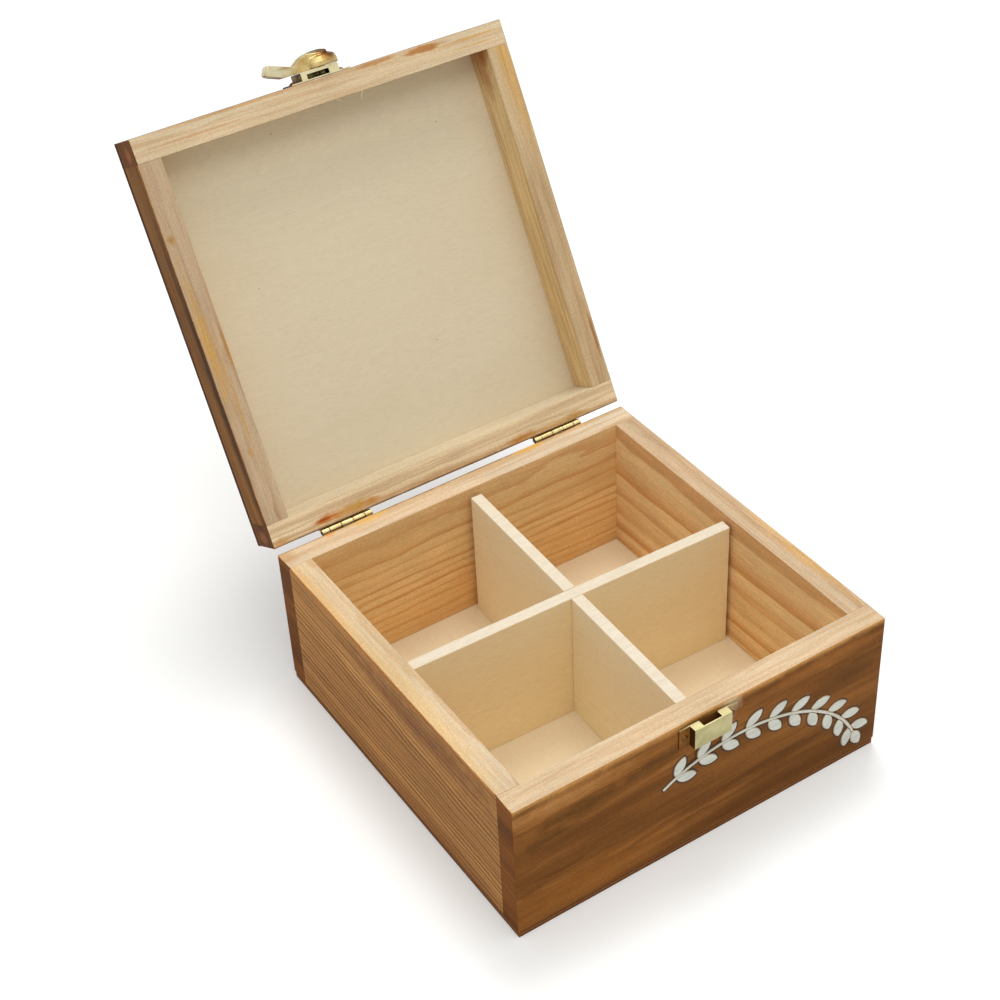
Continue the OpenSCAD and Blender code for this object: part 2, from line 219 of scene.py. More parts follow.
def cloud(tree, place, factors, detail=2, rough=0.5):
    """Soft noise between 0 and 1, which changes so many times a metre on each axis."""
    place = vectors(tree, "MULTIPLY", place, factors)
    inputs = {"Vector": place, "Scale": 1, "Detail": detail, "Roughness": rough}
    return put(tree, "ShaderNodeTexNoise", inputs).outputs["Fac"]


def figure(tree, place, along, across, detail=2, rough=0.5):
    """Noise that is drawn out along the grain."""
    return cloud(tree, place, (along, across, across), detail, rough)


def stretch_range(tree, value, low, high, to_low=0, to_high=1):
    """A value moved from one range to another, with soft ends."""
    return put(
        tree, "ShaderNodeMapRange",
        {"Value": value, "From Min": low, "From Max": high, "To Min": to_low, "To Max": to_high},
        interpolation_type="SMOOTHSTEP"
    ).outputs["Result"]


def blended(tree, amount, under, over, way="MIX"):
    """Two colours mixed by an amount. The node's sockets for colours are 6 and 7, and 2 gives the mix."""
    inputs = {0: amount, 6: under, 7: over}
    return put(tree, "ShaderNodeMix", inputs, data_type="RGBA", blend_type=way).outputs[2]


def toned(tree, colour, strength):
    """A colour made lighter or darker by a number round 1."""
    tone = put(tree, "ShaderNodeCombineColor", {0: strength, 1: strength, 2: strength})
    return blended(tree, 1, colour, tone.outputs[0], "MULTIPLY")


def new_finish(name, shine=None):
    """A new material, its nodes and its surface."""
    material = bpy.data.materials.new(name)
    material.use_nodes = True
    surface = material.node_tree.nodes["Principled BSDF"]
    if shine is not None:
        surface.inputs["Specular IOR Level"].default_value = shine
    return material, material.node_tree, surface


def lay_on(tree, surface, colour, height, strength, depth):
    """Gives a surface its colour and its relief."""
    tree.links.new(colour, surface.inputs["Base Color"])
    bump = put(tree, "ShaderNodeBump", {"Height": height, "Strength": strength, "Distance": depth})
    tree.links.new(bump.outputs[0], surface.inputs["Normal"])


def new_group(name, inputs, outputs):
    """An empty shader group with its sockets."""
    tree = bpy.data.node_groups.new(name, "ShaderNodeTree")
    for label, kind, value in inputs:
        tree.interface.new_socket(label, in_out="INPUT", socket_type=kind).default_value = value
    for label in outputs:
        tree.interface.new_socket(label, in_out="OUTPUT", socket_type="NodeSocketFloat")
    return tree, tree.nodes.new("NodeGroupInput").outputs, tree.nodes.new("NodeGroupOutput").inputs


def swing(tree, value, size):
    """A noise that swings to both sides of nothing, as far as a size."""
    return sums(tree, "MULTIPLY", sums(tree, "SUBTRACT", value, 0.5), size)


def make_pine_grain():
    """Growth rings round a pith that runs along X, with fibres, bands of tone and cloudy patches."""
    tree, given, result = new_group("pine_grain", [
        ("Vector", "NodeSocketVector", (0, 0, 0)),
        ("Ring", "NodeSocketFloat", 0.004),
        ("Wander", "NodeSocketFloat", 0.003),
        ("Waver", "NodeSocketFloat", 0.0006),
        ("Sharpness", "NodeSocketFloat", 0.8),
        ("Uneven", "NodeSocketFloat", 0.5),
    ], ["Late", "Fibre", "Band", "Cloud", "Streak", "Tooth"])
    place = given["Vector"]
    peak, climb, faintest = 0.93, 0.45, 0.35
    sway = swing(tree, figure(tree, place, 7, 40), given["Wander"])
    ripple_size = sums(tree, "MULTIPLY", given["Ring"], given["Uneven"])
    ripple = swing(tree, figure(tree, place, 26, 190, 3), ripple_size)
    waver = swing(tree, figure(tree, place, 55, 110), given["Waver"])
    sway = sums(tree, "ADD", sway, waver)
    from_pith = vectors(tree, "LENGTH", vectors(tree, "MULTIPLY", place, (0, 1, 1)))
    reach = sums(tree, "ADD", sums(tree, "ADD", from_pith, sway), ripple)
    count = sums(tree, "DIVIDE", reach, given["Ring"])
    turn = sums(tree, "FRACT", count)
    year = put(tree, "ShaderNodeTexWhiteNoise", {"W": sums(tree, "FLOOR", count)}, noise_dimensions="1D")
    year = stretch_range(tree, year.outputs["Value"], 0, 1, faintest, 1)
    rise = stretch_range(tree, turn, sums(tree, "SUBTRACT", given["Sharpness"], climb), peak)
    fall = stretch_range(tree, turn, peak, 1, 1, 0)
    tree.links.new(sums(tree, "MULTIPLY", sums(tree, "MULTIPLY", rise, fall), year), result["Late"])
    for part, pattern, low, high in (
        ("Fibre", figure(tree, place, 70, 2300, 3, 0.65), 0.3, 0.7),
        ("Band", figure(tree, place, 5, 75, 3), 0.35, 0.65),
        ("Cloud", figure(tree, place, 16, 45), 0.3, 0.7),
        ("Streak", figure(tree, place, 11, 400, 3, 0.6), 0.46, 0.68),
        ("Tooth", figure(tree, place, 900, 2300), 0.3, 0.7)
    ):
        tree.links.new(stretch_range(tree, pattern, low, high), result[part])
    return tree


def make_soft_patch():
    """A soft patch round a centre, with pointed ends and an uneven edge: stains, knots and wear, and also
    painted shade, light and reflections.
    """
    tree, given, result = new_group("soft_patch", [
        ("Vector", "NodeSocketVector", (0, 0, 0)),
        ("Centre", "NodeSocketVector", (0, 0, 0)),
        ("Reach", "NodeSocketVector", (0.01, 0.01, 0.01)),
        ("Ragged", "NodeSocketFloat", 0.7),
        ("Core", "NodeSocketFloat", 0.2),
    ], ["Mask"])
    away = vectors(tree, "SUBTRACT", given["Vector"], given["Centre"])
    away = vectors(tree, "DIVIDE", away, given["Reach"])
    oval = vectors(tree, "LENGTH", away)
    pointed = vectors(tree, "DOT_PRODUCT", vectors(tree, "ABSOLUTE", away), (1, 1, 1))
    far = sums(tree, "MULTIPLY", sums(tree, "ADD", oval, pointed), 0.5)
    elsewhere = vectors(tree, "MULTIPLY", given["Centre"], (450, 450, 450))
    long_ways = cloud(tree, vectors(tree, "ADD", elsewhere, away), (2, 2, 2), 3)
    all_over = cloud(tree, given["Vector"], (190, 190, 190), 3)
    edge = sums(tree, "SUBTRACT", sums(tree, "ADD", long_ways, all_over), 1)
    far = sums(tree, "ADD", far, sums(tree, "MULTIPLY", edge, given["Ragged"]))
    tree.links.new(stretch_range(tree, far, 1, given["Core"]), result["Mask"])
    return tree


pine_grain = make_pine_grain()
soft_patch = make_soft_patch()


def grain_place(tree, turned, on_lid, pith, tilt=0):
    """Places on the closed box, and the same laid so that the grain runs along X round the pith."""
    where = own_place(tree)
    if on_lid:
        where = relaid(tree, where, (open_angle, 0, 0), hinge_line - close_turn.to_3x3() @ hinge_line)
    place = relaid(tree, where, (0, 0, radians(-90 if turned else 0)), -Vector(pith))
    if tilt:
        place = relaid(tree, place, (0, tilt, 0))
    return where, place


def patched(tree, where, colour, patches, ragged=0.7, core=0.2):
    """Lays soft patches of colour over a colour: each is a centre, a reach, a colour and a strength."""
    for centre, reach, tone, strength in patches:
        inputs = {"Vector": where, "Centre": centre, "Reach": reach, "Ragged": ragged, "Core": core}
        mask = put(tree, "ShaderNodeGroup", inputs, node_tree=soft_patch).outputs["Mask"]
        colour = blended(tree, sums(tree, "MULTIPLY", mask, strength), colour, tone)
    return colour


def pine(
    name, pale, late, ring, pith, turned=False, on_lid=False, band=None, band_share=0.5, late_share=0.8,
    wander=0.004, sharpness=0.8, uneven=1.6, fibre_share=0.25, patches=(), tilt=0,
    streak=None, streak_share=0.4, waver=0.0006, tooth_share=0.07, core=0.2
):
    """Pine: pale early wood, darker late wood, bands of tone, fine fibres and patches."""
    material, tree, surface = new_finish(name, shine=0.04)
    where, place = grain_place(tree, turned, on_lid, pith, tilt)
    inputs = {
        "Vector": place, "Ring": ring, "Wander": wander, "Waver": waver,
        "Sharpness": sharpness, "Uneven": uneven
    }
    grain = put(tree, "ShaderNodeGroup", inputs, node_tree=pine_grain).outputs
    colour = pale
    for part, share, tone in (
        ("Late", late_share, late), ("Band", band_share, band), ("Streak", streak_share, streak)
    ):
        if tone:
            colour = blended(tree, sums(tree, "MULTIPLY", grain[part], share), colour, tone)
    colour = patched(tree, where, colour, patches, core=core)
    darkest_cloud, palest_cloud = 0.94, 1.04
    smoothest, roughest = 0.49, 0.65
    dark = stretch_range(tree, grain["Fibre"], 0, 1, 1 - fibre_share, 1 + fibre_share * 0.3)
    cloudy = stretch_range(tree, grain["Cloud"], 0, 1, darkest_cloud, palest_cloud)
    speckled = stretch_range(tree, grain["Tooth"], 0, 1, 1 - tooth_share, 1 + tooth_share)
    colour = toned(tree, colour, sums(tree, "MULTIPLY", sums(tree, "MULTIPLY", dark, cloudy), speckled))
    dull = stretch_range(tree, grain["Fibre"], 0, 1, smoothest, roughest)
    tree.links.new(dull, surface.inputs["Roughness"])
    height = sums(tree, "ADD", sums(tree, "MULTIPLY", grain["Fibre"], 0.6), grain["Late"])
    lay_on(tree, surface, colour, height, strength=0.5, depth=0.08 * MM)
    return material


# Each patch is its centre on the closed box, how far it reaches on each axis, its colour and its
# strength. A reach of 0.02 into a board takes in its whole face, and one of 0.3 its whole length.
edge_gold = shade(214, 156, 88)
front_stain = pine(
    "front_stain", shade(166, 108, 52), shade(116, 68, 26), 0.02, (0.02, -0.2, -0.05), wander=0.03,
    band=shade(96, 56, 22), band_share=0.65, late_share=0.5, sharpness=0.6, fibre_share=0.2,
    tilt=radians(1.5), streak=shade(104, 62, 24), streak_share=0.3, tooth_share=0.1, core=0.0,
    patches=[
        ((-0.072, -half_d, 0.0425), (0.03, 0.02, 0.006), shade(96, 61, 24), 0.75),
        ((-0.05, -half_d, 0.0485), (0.04, 0.02, 0.006), shade(94, 59, 23), 0.8),
        ((-0.02, -half_d, 0.0515), (0.034, 0.02, 0.005), shade(94, 59, 23), 0.75),
        ((-0.062, -half_d, 0.0575), (0.05, 0.02, 0.0055), shade(202, 144, 84), 0.75),
        ((-0.05, -half_d, 0.012), (0.06, 0.02, 0.012), shade(160, 98, 38), 0.5),
        ((0.066, -half_d, 0.046), (0.03, 0.02, 0.007), shade(94, 59, 23), 0.6),
        ((0.055, -half_d, 0.0575), (0.05, 0.02, 0.005), shade(176, 112, 54), 0.7),
        ((0.0, -half_d, rim_z), (0.3, 0.02, 0.0034), edge_gold, 1.0),
        ((0.0104, -half_d, rim_z), (0.0066, 0.02, 0.0125), shade(232, 206, 164), 1.0)
    ]
)
back_stain = pine(
    "back_stain", shade(158, 102, 50), shade(120, 72, 32), 0.009, (0.3, 0.2, -0.05), wander=0.012,
    band=shade(108, 66, 30), band_share=0.6, late_share=0.6, sharpness=0.65, fibre_share=0.2,
    streak=shade(112, 68, 30)
)
end_stain = pine(
    "end_stain", shade(150, 90, 34), shade(78, 42, 14), 0.0022, (0.1, 0.03, -0.06), turned=True,
    wander=0.002, band=shade(86, 48, 16), band_share=0.7, late_share=0.45
)
front_rim = pine(
    "front_rim", shade(221, 202, 172), shade(198, 164, 124), 0.0034, (0.05, 0.02, 0.02), wander=0.003,
    band=shade(216, 182, 138), fibre_share=0.1, streak=shade(202, 160, 116), streak_share=0.55
)
back_rim = pine(
    "back_rim", shade(220, 202, 174), shade(196, 160, 120), 0.003, (0.15, 0.045, 0.03), wander=0.0025,
    band=shade(216, 182, 140), fibre_share=0.1, streak=shade(200, 158, 114), streak_share=0.5,
    patches=[
        ((0.0, half_d, rim_z), (0.3, 0.0036, 0.004), shade(224, 184, 126), 0.35),
        ((0.0, half_d, rim_z), (0.3, 0.0013, 0.004), shade(120, 80, 42), 1.0),
        ((-0.0405, 0.0785, rim_z), (0.0125, 0.004, 0.006), shade(224, 178, 104), 0.9),
        ((-0.0575, 0.0793, rim_z), (0.0052, 0.0028, 0.006), shade(222, 152, 84), 0.75),
        ((0.033, 0.0788, rim_z), (0.0105, 0.0038, 0.006), shade(226, 176, 98), 0.9),
        ((0.059, 0.0794, rim_z), (0.0045, 0.0024, 0.006), shade(226, 176, 110), 0.7),
        ((-0.0785, 0.0765, rim_z), (0.006, 0.0055, 0.004), shade(204, 150, 92), 0.55)
    ]
)
inner_back = pine(
    "inner_back", shade(243, 208, 152), shade(206, 138, 78), 0.0031, (0.12, 0.1, 0.064),
    band=shade(226, 178, 114), sharpness=0.86, fibre_share=0.12, uneven=0.9, waver=0.0014,
    # The back wall is painted more orange towards the floor: painted shade. Near the rim it is given a
    # slightly darker tone.
    patches=[
        ((0, half_d, 0), (0.3, 0.02, 0.06), shade(230, 156, 88), 0.5),
        ((0, half_d, rim_z), (0.3, 0.02, 0.026), shade(232, 194, 138), 0.75)
    ]
)
inner_front = pine(
    "inner_front", shade(245, 217, 160), shade(222, 166, 102), 0.006, (0.4, -0.13, 0.07), wander=0.006,
    band=shade(230, 190, 128), late_share=0.75, sharpness=0.88, fibre_share=0.12
)
arris_gold = pine(
    "arris_gold", shade(216, 160, 98), shade(176, 112, 60), 0.005, (0, 0.03, 0.02), wander=0.006,
    band=shade(176, 116, 62), band_share=0.6, fibre_share=0.2
)
# The foot arrises are painted paler than the stain: a painted highlight where the rounded lower edges
# catch light.
foot_arris_highlight = pine(
    "foot_arris_highlight", shade(206, 152, 100), shade(160, 108, 64), 0.005, (0, 0.03, 0.02), wander=0.006,
    band=shade(170, 116, 70), band_share=0.6, fibre_share=0.2
)
back_arris = pine(
    "back_arris", shade(132, 88, 46), shade(100, 62, 30), 0.005, (0, 0.03, 0.02), wander=0.006,
    band=shade(104, 66, 34), band_share=0.6, fibre_share=0.2
)


def paint_board(bm, outwards, end_axis):
    """Numbers the faces: 0 outside, 1 rim, 2 inside, 3 ends; arrises: 4 rim, 5 foot, 6 rim at the ends."""
    flat = 0.96
    leaning = 0.2
    for f in bm.faces:
        n = f.normal
        if abs(n.z) > flat:
            f.material_index = 1 if n.z > 0 else 2
        elif n.dot(outwards) > flat:
            f.material_index = 0
        elif n.dot(outwards) < -flat:
            f.material_index = 2
        elif abs(n[end_axis]) > flat:
            f.material_index = 3
        elif n.z > leaning and n.dot(outwards) > leaning:
            f.material_index = 4
        elif n.z > leaning and abs(n[end_axis]) > leaning:
            f.material_index = 6
        elif n.z > leaning:
            f.material_index = 1
        elif n.z < -leaning:
            f.material_index = 5
        else:
            f.material_index = 0


def worn_over_catch(bm):
    """Lowers the rim's front edge over the catch, where fingers have rounded it."""
    worn_half = 10.3 * MM
    band = 1.3 * MM
    inwards = 0.6 * MM
    down = 0.55 * MM
    for v in bm.verts:
        up_the_band = v.co.z - rim_z + band
        if abs(v.co.x) < worn_half and up_the_band > 0 and v.co.y < band - half_d:
            v.co.y += inwards * up_the_band / band
            v.co.z -= down * max(0, 1 - (v.co.y + half_d) / band)


def sawn_board(name, outwards, end_axis, materials, arris):
    """One board of the box, with its materials on its faces."""
    materials = materials + [end_stain, arris, foot_arris_highlight, arris_gold]
    low, high = measured(name, as_it_stands)
    board = board_block(low, high, end_axis)
    ease_edges(board, box_arris)
    paint_board(board, Vector(outwards), end_axis)
    if name == "front_board":
        worn_over_catch(board)
    finished(board, name + "_wood", materials, "box", name)


sawn_board("front_board", (0, -1, 0), 0, [front_stain, front_rim, inner_front], arris_gold)
sawn_board("back_board", (0, 1, 0), 0, [back_stain, back_rim, inner_back], back_arris)


# Side boards
# The two side boards are glued between the front and the back board. The left one is quarter sawn
# and shows close straight lines through the stain.
left_stain = pine(
    "left_stain", shade(214, 156, 92), shade(84, 46, 20), 0.0026, (0.1, 0.11, -0.2), turned=True,
    wander=0.006, band=shade(132, 82, 42), band_share=0.4, late_share=0.92, fibre_share=0.22, uneven=0.6,
    tilt=radians(1.6), streak=shade(100, 58, 28), streak_share=0.35, waver=0.003, tooth_share=0.12,
    core=0.0,
    patches=[
        ((-half_w, -0.02, 0.0545), (0.02, 0.1, 0.012), shade(106, 62, 40), 0.65),
        ((-half_w, -0.02, 0.006), (0.02, 0.1, 0.009), shade(150, 92, 46), 0.4),
        ((-half_w, 0, rim_z), (0.02, 0.3, 0.0028), shade(196, 128, 70), 0.9)
    ]
)
right_stain = pine(
    "right_stain", shade(168, 112, 62), shade(116, 70, 36), 0.006, (0.2, 0.02, -0.12), turned=True,
    wander=0.006, band=shade(120, 74, 38), band_share=0.6, late_share=0.7, sharpness=0.75,
    fibre_share=0.2, streak=shade(110, 66, 34)
)
left_rim = pine(
    "left_rim", shade(220, 201, 170), shade(200, 166, 126), 0.0032, (0.1, 0.06, 0.02), turned=True,
    wander=0.0022, band=shade(218, 186, 142), band_share=0.4, fibre_share=0.1,
    streak=shade(206, 168, 124), streak_share=0.5,
    patches=[
        ((-half_w, -0.012, rim_z), (0.0084, 0.15, 0.02), shade(222, 188, 136), 0.85),
        ((-half_w, 0.06, rim_z), (0.005, 0.07, 0.02), shade(220, 176, 116), 0.6)
    ]
)
right_rim = pine(
    "right_rim", shade(202, 178, 146), shade(174, 140, 104), 0.0026, (0.3, -0.06, 0.02), turned=True,
    wander=0.002, band=shade(208, 172, 132), fibre_share=0.12, streak=shade(190, 152, 114),
    streak_share=0.55,
    patches=[((half_w - 0.001, -0.035, rim_z), (0.005, 0.05, 0.02), shade(224, 176, 108), 0.6)]
)
inner_right = pine(
    "inner_right", shade(250, 220, 170), shade(204, 138, 82), 0.0056, (0.1, -0.125, 0.066), turned=True,
    wander=0.002, band=shade(232, 184, 126), band_share=0.4, late_share=0.9, sharpness=0.72,
    fibre_share=0.14, uneven=0.3, tilt=radians(-1.5), waver=0.0005,
    # The right wall is painted more orange towards the floor: painted shade.
    patches=[((half_w, 0, 0), (0.02, 0.3, 0.045), shade(230, 166, 100), 0.35)]
)
inner_left = pine(
    "inner_left", shade(243, 214, 158), shade(216, 160, 98), 0.005, (0.3, 0.12, 0.07), turned=True,
    wander=0.006, band=shade(228, 188, 126), late_share=0.7, sharpness=0.85, fibre_share=0.14
)
sawn_board("left_board", (-1, 0, 0), 1, [left_stain, left_rim, inner_left], arris_gold)
sawn_board("right_board", (1, 0, 0), 1, [right_stain, right_rim, inner_right], arris_gold)


# Bottom panel
# A sheet of plywood glued under the boards, a little smaller than the box. Its sanded upper face is
# the floor of the compartments and its edge took the stain darkly.
def make_ply_figure():
    """Plywood: faint streaks of a peeled veneer, pores and a soft cloud of tone."""
    tree, given, result = new_group("ply_figure", [
        ("Vector", "NodeSocketVector", (0, 0, 0)),
    ], ["Streak", "Pore", "Cloud"])
    turns = vectors(tree, "MULTIPLY", given["Vector"], (14, 14, 14))
    bent = put(tree, "ShaderNodeTexNoise", {"Vector": turns, "Scale": 1, "Detail": 2}).outputs["Color"]
    bent_place = vectors(tree, "ADD", given["Vector"], vectors(tree, "MULTIPLY", bent, (0.01, 0.01, 0.01)))
    for part, pattern, low, high in (
        ("Streak", figure(tree, bent_place, 30, 420, 4, 0.6), 0.32, 0.68),
        ("Pore", figure(tree, bent_place, 260, 2600, 2, 0.6), 0.35, 0.75),
        ("Cloud", figure(tree, bent_place, 11, 17, 3), 0.3, 0.7)
    ):
        tree.links.new(stretch_range(tree, pattern, low, high), result[part])
    return tree


ply_figure = make_ply_figure()


def plywood(
    name, pale, deep, turned=False, on_lid=False, streak_share=0.5, pore_share=0.1, rough=0.6, patches=()
):
    """Sanded plywood in two near tones, with pores and patches."""
    material, tree, surface = new_finish(name, shine=0.05)
    where, place = grain_place(tree, turned, on_lid, (0, 0, 0))
    veneer = put(tree, "ShaderNodeGroup", {"Vector": place}, node_tree=ply_figure).outputs
    colour = pale
    for part, share in (("Streak", streak_share), ("Cloud", 0.45)):
        colour = blended(tree, sums(tree, "MULTIPLY", veneer[part], share), colour, deep)
    colour = patched(tree, where, colour, patches)
    fine = stretch_range(tree, veneer["Pore"], 0, 1, 1 + pore_share * 0.3, 1 - pore_share)
    dull = stretch_range(tree, veneer["Pore"], 0, 1, rough, rough + 0.12)
    tree.links.new(dull, surface.inputs["Roughness"])
    height = sums(tree, "ADD", veneer["Pore"], sums(tree, "MULTIPLY", veneer["Streak"], 0.4))
    lay_on(tree, surface, toned(tree, colour, fine), height, strength=0.35, depth=0.05 * MM)
    return material


def veneer_edge(name, pale, deep, layer, on_lid=False):
    """The edge of a sheet of plywood: thin layers in turn pale and deep."""
    material, tree, surface = new_finish(name, shine=0.04)
    _, place = grain_place(tree, False, on_lid, (0, 0, 0))
    height = put(tree, "ShaderNodeSeparateXYZ", {0: place}).outputs[2]
    uneven = sums(tree, "MULTIPLY", cloud(tree, place, (60, 60, 200)), layer * 0.5)
    step = sums(tree, "FRACT", sums(tree, "DIVIDE", sums(tree, "ADD", height, uneven), 2 * layer))
    layers = stretch_range(tree, sums(tree, "PINGPONG", step, 0.5), 0.18, 0.32)
    fibre = cloud(tree, place, (900, 900, 2600), 3)
    colour = blended(tree, sums(tree, "MULTIPLY", layers, 0.6), pale, deep)
    colour = blended(tree, stretch_range(tree, fibre, 0.4, 0.75, 0, 0.5), colour, deep)
    surface.inputs["Roughness"].default_value = 0.65
    lay_on(tree, surface, colour, fibre, strength=0.4, depth=0.08 * MM)
    return material


def paint_panel(bm, upper, under):
    """Numbers the faces of a panel by the slots of its upper side, its underside and its edges."""
    for f in bm.faces:
        f.material_index = upper if f.normal.z > 0.9 else under if f.normal.z < -0.9 else 2


floor_ply = plywood(
    "floor_ply", shade(238, 222, 190), shade(228, 207, 171), turned=True, streak_share=0.2,
    pore_share=0.04
)
under_ply = plywood("under_ply", shade(206, 172, 128), shade(182, 144, 100), streak_share=0.6)
stained_ply_edge = veneer_edge("stained_ply_edge", shade(150, 100, 58), shade(84, 50, 26), 0.0008)
low, high = measured("bottom_panel", as_it_stands)
bottom = board_block(low, high, 0)
ease_edges(bottom, lambda p: False)
paint_panel(bottom, 0, 1)
materials = [floor_ply, under_ply, stained_ply_edge]
finished(bottom, "bottom_panel_ply", materials, "box", "bottom_panel")


# Lid rails
# Four pine rails 15 mm high, sawn off the same box, so their ends meet as the boards below do.
# They are drawn on the closed lid and then laid back to where the open lid stands.
def lid_arris(p):
    """True on the outer edges of the lid's rim."""
    at_side = (abs(p.x) > half_w - at_face) + (abs(p.y) > half_d - at_face)
    return at_side + (p.z < rim_z + at_face) >= 2


def turn_over(bm):
    """Mirrors a piece in height and keeps its faces outwards."""
    bmesh.ops.scale(bm, vec=(1, 1, -1), verts=bm.verts)
    bmesh.ops.reverse_faces(bm, faces=bm.faces)
    bm.normal_update()


lid_front_rim = pine(
    "lid_front_rim", shade(222, 203, 169), shade(192, 156, 114), 0.0036, (0.02, 0.09, 0.02), on_lid=True,
    core=0.45, wander=0.003, band=shade(214, 184, 142), fibre_share=0.1, streak=shade(198, 162, 120),
    streak_share=0.6,
    patches=[
        ((0.0435, -0.078, rim_z), (0.012, 0.0021, 0.004), shade(180, 126, 74), 1.0),
        ((0.0225, -0.0789, rim_z), (0.0115, 0.0015, 0.004), shade(190, 142, 92), 0.9),
        ((0.064, -0.0768, rim_z), (0.02, 0.0007, 0.004), shade(206, 160, 92), 0.75),
        ((0.066, -0.0738, rim_z), (0.016, 0.0006, 0.004), shade(206, 164, 100), 0.65),
        ((-0.03, -half_d, rim_z), (0.07, 0.0016, 0.004), shade(204, 156, 96), 0.6),
        ((-0.055, -0.0745, rim_z), (0.03, 0.0007, 0.004), shade(196, 142, 92), 0.6)
    ]
)
lid_back_rim = pine(
    "lid_back_rim", shade(238, 215, 174), shade(198, 162, 120), 0.0028, (0.2, -0.04, 0.03), on_lid=True,
    core=0.0, wander=0.0025, band=shade(214, 180, 138), fibre_share=0.12, streak=shade(192, 154, 116),
    streak_share=0.55, waver=0.001,
    patches=[
        ((0.0, half_d, rim_z), (0.3, 0.0044, 0.006), shade(204, 152, 92), 0.45),
        ((0.0, half_d, rim_z), (0.3, 0.0016, 0.004), shade(116, 78, 42), 0.9),
        ((-0.047, 0.0776, rim_z), (0.023, 0.0036, 0.006), shade(222, 172, 108), 0.8),
        ((-0.042, 0.0769, rim_z), (0.0135, 0.003, 0.006), shade(202, 150, 70), 0.95),
        ((-0.0365, 0.0771, rim_z), (0.008, 0.002, 0.006), shade(198, 134, 66), 0.85),
        ((-0.0555, 0.0769, rim_z), (0.0095, 0.0026, 0.006), shade(196, 112, 46), 1.0),
        ((-0.0575, 0.0769, rim_z), (0.005, 0.0015, 0.006), shade(160, 74, 22), 0.9),
        ((0.033, 0.0781, rim_z), (0.0115, 0.0031, 0.006), shade(192, 128, 58), 1.0),
        ((0.0475, 0.0787, rim_z), (0.022, 0.0022, 0.006), shade(214, 164, 98), 0.7),
        ((0.0592, 0.0781, rim_z), (0.0085, 0.0027, 0.006), shade(184, 136, 66), 0.95),
        ((-0.076, half_d, rim_z), (0.008, 0.005, 0.004), shade(204, 150, 84), 0.8)
    ]
)
lid_left_rim = pine(
    "lid_left_rim", shade(204, 180, 148), shade(172, 136, 102), 0.003, (0.1, 0.072, 0.02), turned=True,
    on_lid=True, core=0.1, band=shade(192, 160, 124), band_share=0.6, late_share=0.85, fibre_share=0.12,
    streak=shade(176, 138, 102), streak_share=0.6, waver=0.001,
    patches=[
        ((-0.0775, 0.0, rim_z), (0.003, 0.045, 0.01), shade(206, 160, 88), 0.85),
        ((-0.0745, 0.02, rim_z), (0.0013, 0.045, 0.01), shade(202, 156, 88), 0.7),
        ((-0.0773, -0.0415, rim_z), (0.0024, 0.0032, 0.01), shade(184, 140, 84), 1.0),
        ((-0.0761, 0.042, rim_z), (0.0018, 0.0034, 0.01), shade(196, 150, 94), 0.85),
        ((-0.0711, 0.002, rim_z), (0.0015, 0.018, 0.01), shade(178, 130, 66), 0.9)
    ]
)
lid_right_rim = pine(
    "lid_right_rim", shade(212, 190, 152), shade(168, 134, 96), 0.0021, (0.3, -0.07, 0.02), turned=True,
    on_lid=True, wander=0.003, band=shade(194, 160, 116), band_share=0.6, late_share=0.9,
    fibre_share=0.14, streak=shade(170, 132, 92), streak_share=0.6,
    patches=[
        ((0.0768, -0.066, rim_z), (0.005, 0.05, 0.01), shade(208, 172, 112), 0.7),
        ((0.0782, -0.055, rim_z), (0.0013, 0.04, 0.01), shade(208, 162, 96), 0.65),
        ((0.0762, -0.066, rim_z), (0.001, 0.026, 0.01), shade(200, 152, 84), 0.7),
        ((0.0785, 0.05, rim_z), (0.0011, 0.018, 0.01), shade(152, 100, 52), 0.8)
    ]
)
lid_front_stain = pine(
    "lid_front_stain", shade(156, 100, 48), shade(118, 70, 30), 0.008, (0.1, 0.16, 0.02), on_lid=True,
    wander=0.01, band=shade(106, 64, 28), band_share=0.6, late_share=0.6, fibre_share=0.2,
    streak=shade(104, 62, 28)
)
lid_side_stain = pine(
    "lid_side_stain", shade(156, 104, 48), shade(88, 52, 20), 0.006, (0.1, 0.04, -0.02), turned=True,
    on_lid=True, wander=0.008, band=shade(98, 58, 22), band_share=0.6, late_share=0.6, fibre_share=0.22,
    streak=shade(88, 50, 24), streak_share=0.5, core=0.1,
    patches=[
        ((-half_w, 0.01, rim_z + 0.002), (0.02, 0.11, 0.0065), shade(74, 46, 18), 0.9),
        ((-half_w, -0.05, rim_z + 0.011), (0.02, 0.04, 0.006), shade(146, 102, 58), 0.6)
    ]
)
lid_end_stain = pine(
    "lid_end_stain", shade(124, 74, 34), shade(66, 34, 14), 0.0022, (0.1, 0.03, -0.06), turned=True,
    on_lid=True, wander=0.002, band=shade(72, 38, 16), band_share=0.6, late_share=0.6,
    patches=[
        ((-half_w, -0.0745, rim_z + 0.006), (0.02, 0.0045, 0.004), shade(168, 108, 58), 0.8),
        ((-half_w, 0.076, rim_z + 0.008), (0.02, 0.005, 0.006), shade(168, 108, 58), 0.6)
    ]
)
lid_inner = pine(
    "lid_inner", shade(250, 224, 174), shade(214, 176, 124), 0.0024, (0.1, -0.07, 0.0), turned=True,
    on_lid=True, wander=0.002, band=shade(210, 174, 116), band_share=0.6, late_share=0.7,
    fibre_share=0.16, streak=shade(186, 146, 90), streak_share=0.5,
    patches=[
        ((0.0705, -0.072, rim_z + 0.008), (0.005, 0.03, 0.013), shade(178, 118, 66), 0.75),
        ((0.0705, -0.071, rim_z + 0.005), (0.005, 0.011, 0.006), shade(150, 88, 46), 0.6)
    ]
)
